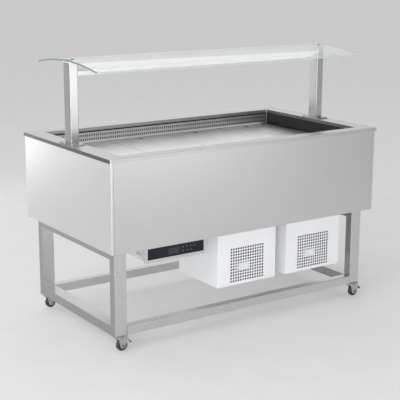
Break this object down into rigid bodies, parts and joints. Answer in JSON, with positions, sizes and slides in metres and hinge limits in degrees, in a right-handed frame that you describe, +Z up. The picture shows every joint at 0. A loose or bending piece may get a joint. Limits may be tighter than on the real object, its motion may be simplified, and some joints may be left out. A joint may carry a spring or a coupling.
{
  "type": "refrigerated buffet island",
  "caption": "Refrigerated buffet island: a stainless cabinet with a shallow cold well of lift-out panels, a lit arched-glass sneeze guard, and a tube frame on castors.",
  "frame": {"origin": "on the floor under the centre of the worktop", "axes": "+X along the length towards the condensing units, +Y towards the back, +Z up"},
  "size_m": [1.5, 0.83, 1.25],
  "materials": {
    "steel": "satin brushed stainless sheet and tube",
    "foam": "rigid foam, hidden inside the body",
    "clear_glass": "clear tempered glass with a green edge",
    "lamp_body": "satin extruded channel",
    "lamp_cover": "opal diffuser",
    "display": "black glass with touch keys",
    "fins": "bare fins",
    "drain_plastic": "grey plastic",
    "white_paint": "white powder coat",
    "black_paint": "black enamel",
    "fan_plastic": "moulded plastic",
    "zinc": "bright zinc plate",
    "wheel_rubber": "black rubber tyre"
  },
  "bodies": {
    "island": {"worktop": "steel", "apron_front": "steel", "apron_back": "steel", "apron_left": "steel", "apron_right": "steel", "bottom_tray": "steel", "well_liner": "steel", "air_outlet_grille": "steel", "air_return_grille": "steel", "side_frame_left": "steel", "side_frame_right": "steel", "rail_front": "steel", "rail_back": "steel", "post_left": "steel", "post_right": "steel", "glass_clamp_left": "steel", "glass_clamp_right": "steel", "control_box": "steel", "control_fascia": "steel", "insulation": "foam", "canopy_glass": "clear_glass", "lamp_housing": "lamp_body", "lamp_diffuser": "lamp_cover", "display_glass": "display", "evaporator": "fins", "unit_left_coil": "fins", "unit_right_coil": "fins", "drain_pipe": "drain_plastic", "unit_left_casing": "white_paint", "unit_left_front": "white_paint", "unit_left_compressor": "black_paint", "unit_left_fan_motor": "black_paint", "unit_right_casing": "white_paint", "unit_right_front": "white_paint", "unit_right_compressor": "black_paint", "unit_right_fan_motor": "black_paint", "evaporator_motor_left": "black_paint", "evaporator_motor_right": "black_paint", "castor_head_front_left": "zinc", "castor_head_front_right": "zinc", "castor_head_back_left": "zinc", "castor_head_back_right": "zinc"},
    "panel_1": {"well_panel_1": "steel"},
    "panel_2": {"well_panel_2": "steel"},
    "panel_3": {"well_panel_3": "steel"},
    "panel_4": {"well_panel_4": "steel"},
    "evaporator_fan_left_rotor": {"evaporator_fan_left": "fan_plastic"},
    "unit_left_fan_rotor": {"unit_left_fan": "fan_plastic"},
    "evaporator_fan_right_rotor": {"evaporator_fan_right": "fan_plastic"},
    "unit_right_fan_rotor": {"unit_right_fan": "fan_plastic"},
    "fork_front_left": {"castor_fork_front_left": "zinc"},
    "wheel_front_left": {"castor_wheel_front_left": "wheel_rubber"},
    "fork_front_right": {"castor_fork_front_right": "zinc"},
    "wheel_front_right": {"castor_wheel_front_right": "wheel_rubber"},
    "fork_back_left": {"castor_fork_back_left": "zinc"},
    "wheel_back_left": {"castor_wheel_back_left": "wheel_rubber"},
    "fork_back_right": {"castor_fork_back_right": "zinc"},
    "wheel_back_right": {"castor_wheel_back_right": "wheel_rubber"},
    "pedal_front_left": {"brake_pedal_front_left": "zinc"},
    "pedal_front_right": {"brake_pedal_front_right": "zinc"}
  },
  "joints": [
    {"name": "panel_1_lift", "type": "slide", "parent": "island", "child": "panel_1", "axis": [0, 0, 1], "range_m": [0, 0.15]},
    {"name": "panel_2_lift", "type": "slide", "parent": "island", "child": "panel_2", "axis": [0, 0, 1], "range_m": [0, 0.15]},
    {"name": "panel_3_lift", "type": "slide", "parent": "island", "child": "panel_3", "axis": [0, 0, 1], "range_m": [0, 0.15]},
    {"name": "panel_4_lift", "type": "slide", "parent": "island", "child": "panel_4", "axis": [0, 0, 1], "range_m": [0, 0.15]},
    {"name": "evaporator_fan_left_spin", "type": "hinge", "parent": "island", "child": "evaporator_fan_left_rotor", "pos_m": [-0.21, -0.054, 0.655], "axis": [0, 1, 0], "continuous": true},
    {"name": "evaporator_fan_right_spin", "type": "hinge", "parent": "island", "child": "evaporator_fan_right_rotor", "pos_m": [0.21, -0.054, 0.655], "axis": [0, 1, 0], "continuous": true},
    {"name": "unit_left_fan_spin", "type": "hinge", "parent": "island", "child": "unit_left_fan_rotor", "pos_m": [0.005, -0.125, 0.3095], "axis": [0, 1, 0], "continuous": true},
    {"name": "unit_right_fan_spin", "type": "hinge", "parent": "island", "child": "unit_right_fan_rotor", "pos_m": [0.405, -0.125, 0.3095], "axis": [0, 1, 0], "continuous": true},
    {"name": "swivel_front_left", "type": "hinge", "parent": "island", "child": "fork_front_left", "pos_m": [-0.68, -0.347, 0.06], "axis": [0, 0, 1], "continuous": true},
    {"name": "roll_front_left", "type": "hinge", "parent": "fork_front_left", "child": "wheel_front_left", "pos_m": [-0.668, -0.347, 0.025], "axis": [0, 1, 0], "continuous": true},
    {"name": "brake_front_left", "type": "hinge", "parent": "fork_front_left", "child": "pedal_front_left", "pos_m": [-0.646, -0.347, 0.0545], "axis": [0, 1, 0], "range_deg": [0, 15]},
    {"name": "swivel_front_right", "type": "hinge", "parent": "island", "child": "fork_front_right", "pos_m": [0.68, -0.347, 0.06], "axis": [0, 0, 1], "continuous": true},
    {"name": "roll_front_right", "type": "hinge", "parent": "fork_front_right", "child": "wheel_front_right", "pos_m": [0.692, -0.347, 0.025], "axis": [0, 1, 0], "continuous": true},
    {"name": "brake_front_right", "type": "hinge", "parent": "fork_front_right", "child": "pedal_front_right", "pos_m": [0.714, -0.347, 0.0545], "axis": [0, 1, 0], "range_deg": [0, 15]},
    {"name": "swivel_back_left", "type": "hinge", "parent": "island", "child": "fork_back_left", "pos_m": [-0.68, 0.347, 0.06], "axis": [0, 0, 1], "continuous": true},
    {"name": "roll_back_left", "type": "hinge", "parent": "fork_back_left", "child": "wheel_back_left", "pos_m": [-0.668, 0.347, 0.025], "axis": [0, 1, 0], "continuous": true},
    {"name": "swivel_back_right", "type": "hinge", "parent": "island", "child": "fork_back_right", "pos_m": [0.68, 0.347, 0.06], "axis": [0, 0, 1], "continuous": true},
    {"name": "roll_back_right", "type": "hinge", "parent": "fork_back_right", "child": "wheel_back_right", "pos_m": [0.692, 0.347, 0.025], "axis": [0, 1, 0], "continuous": true}
  ]
}
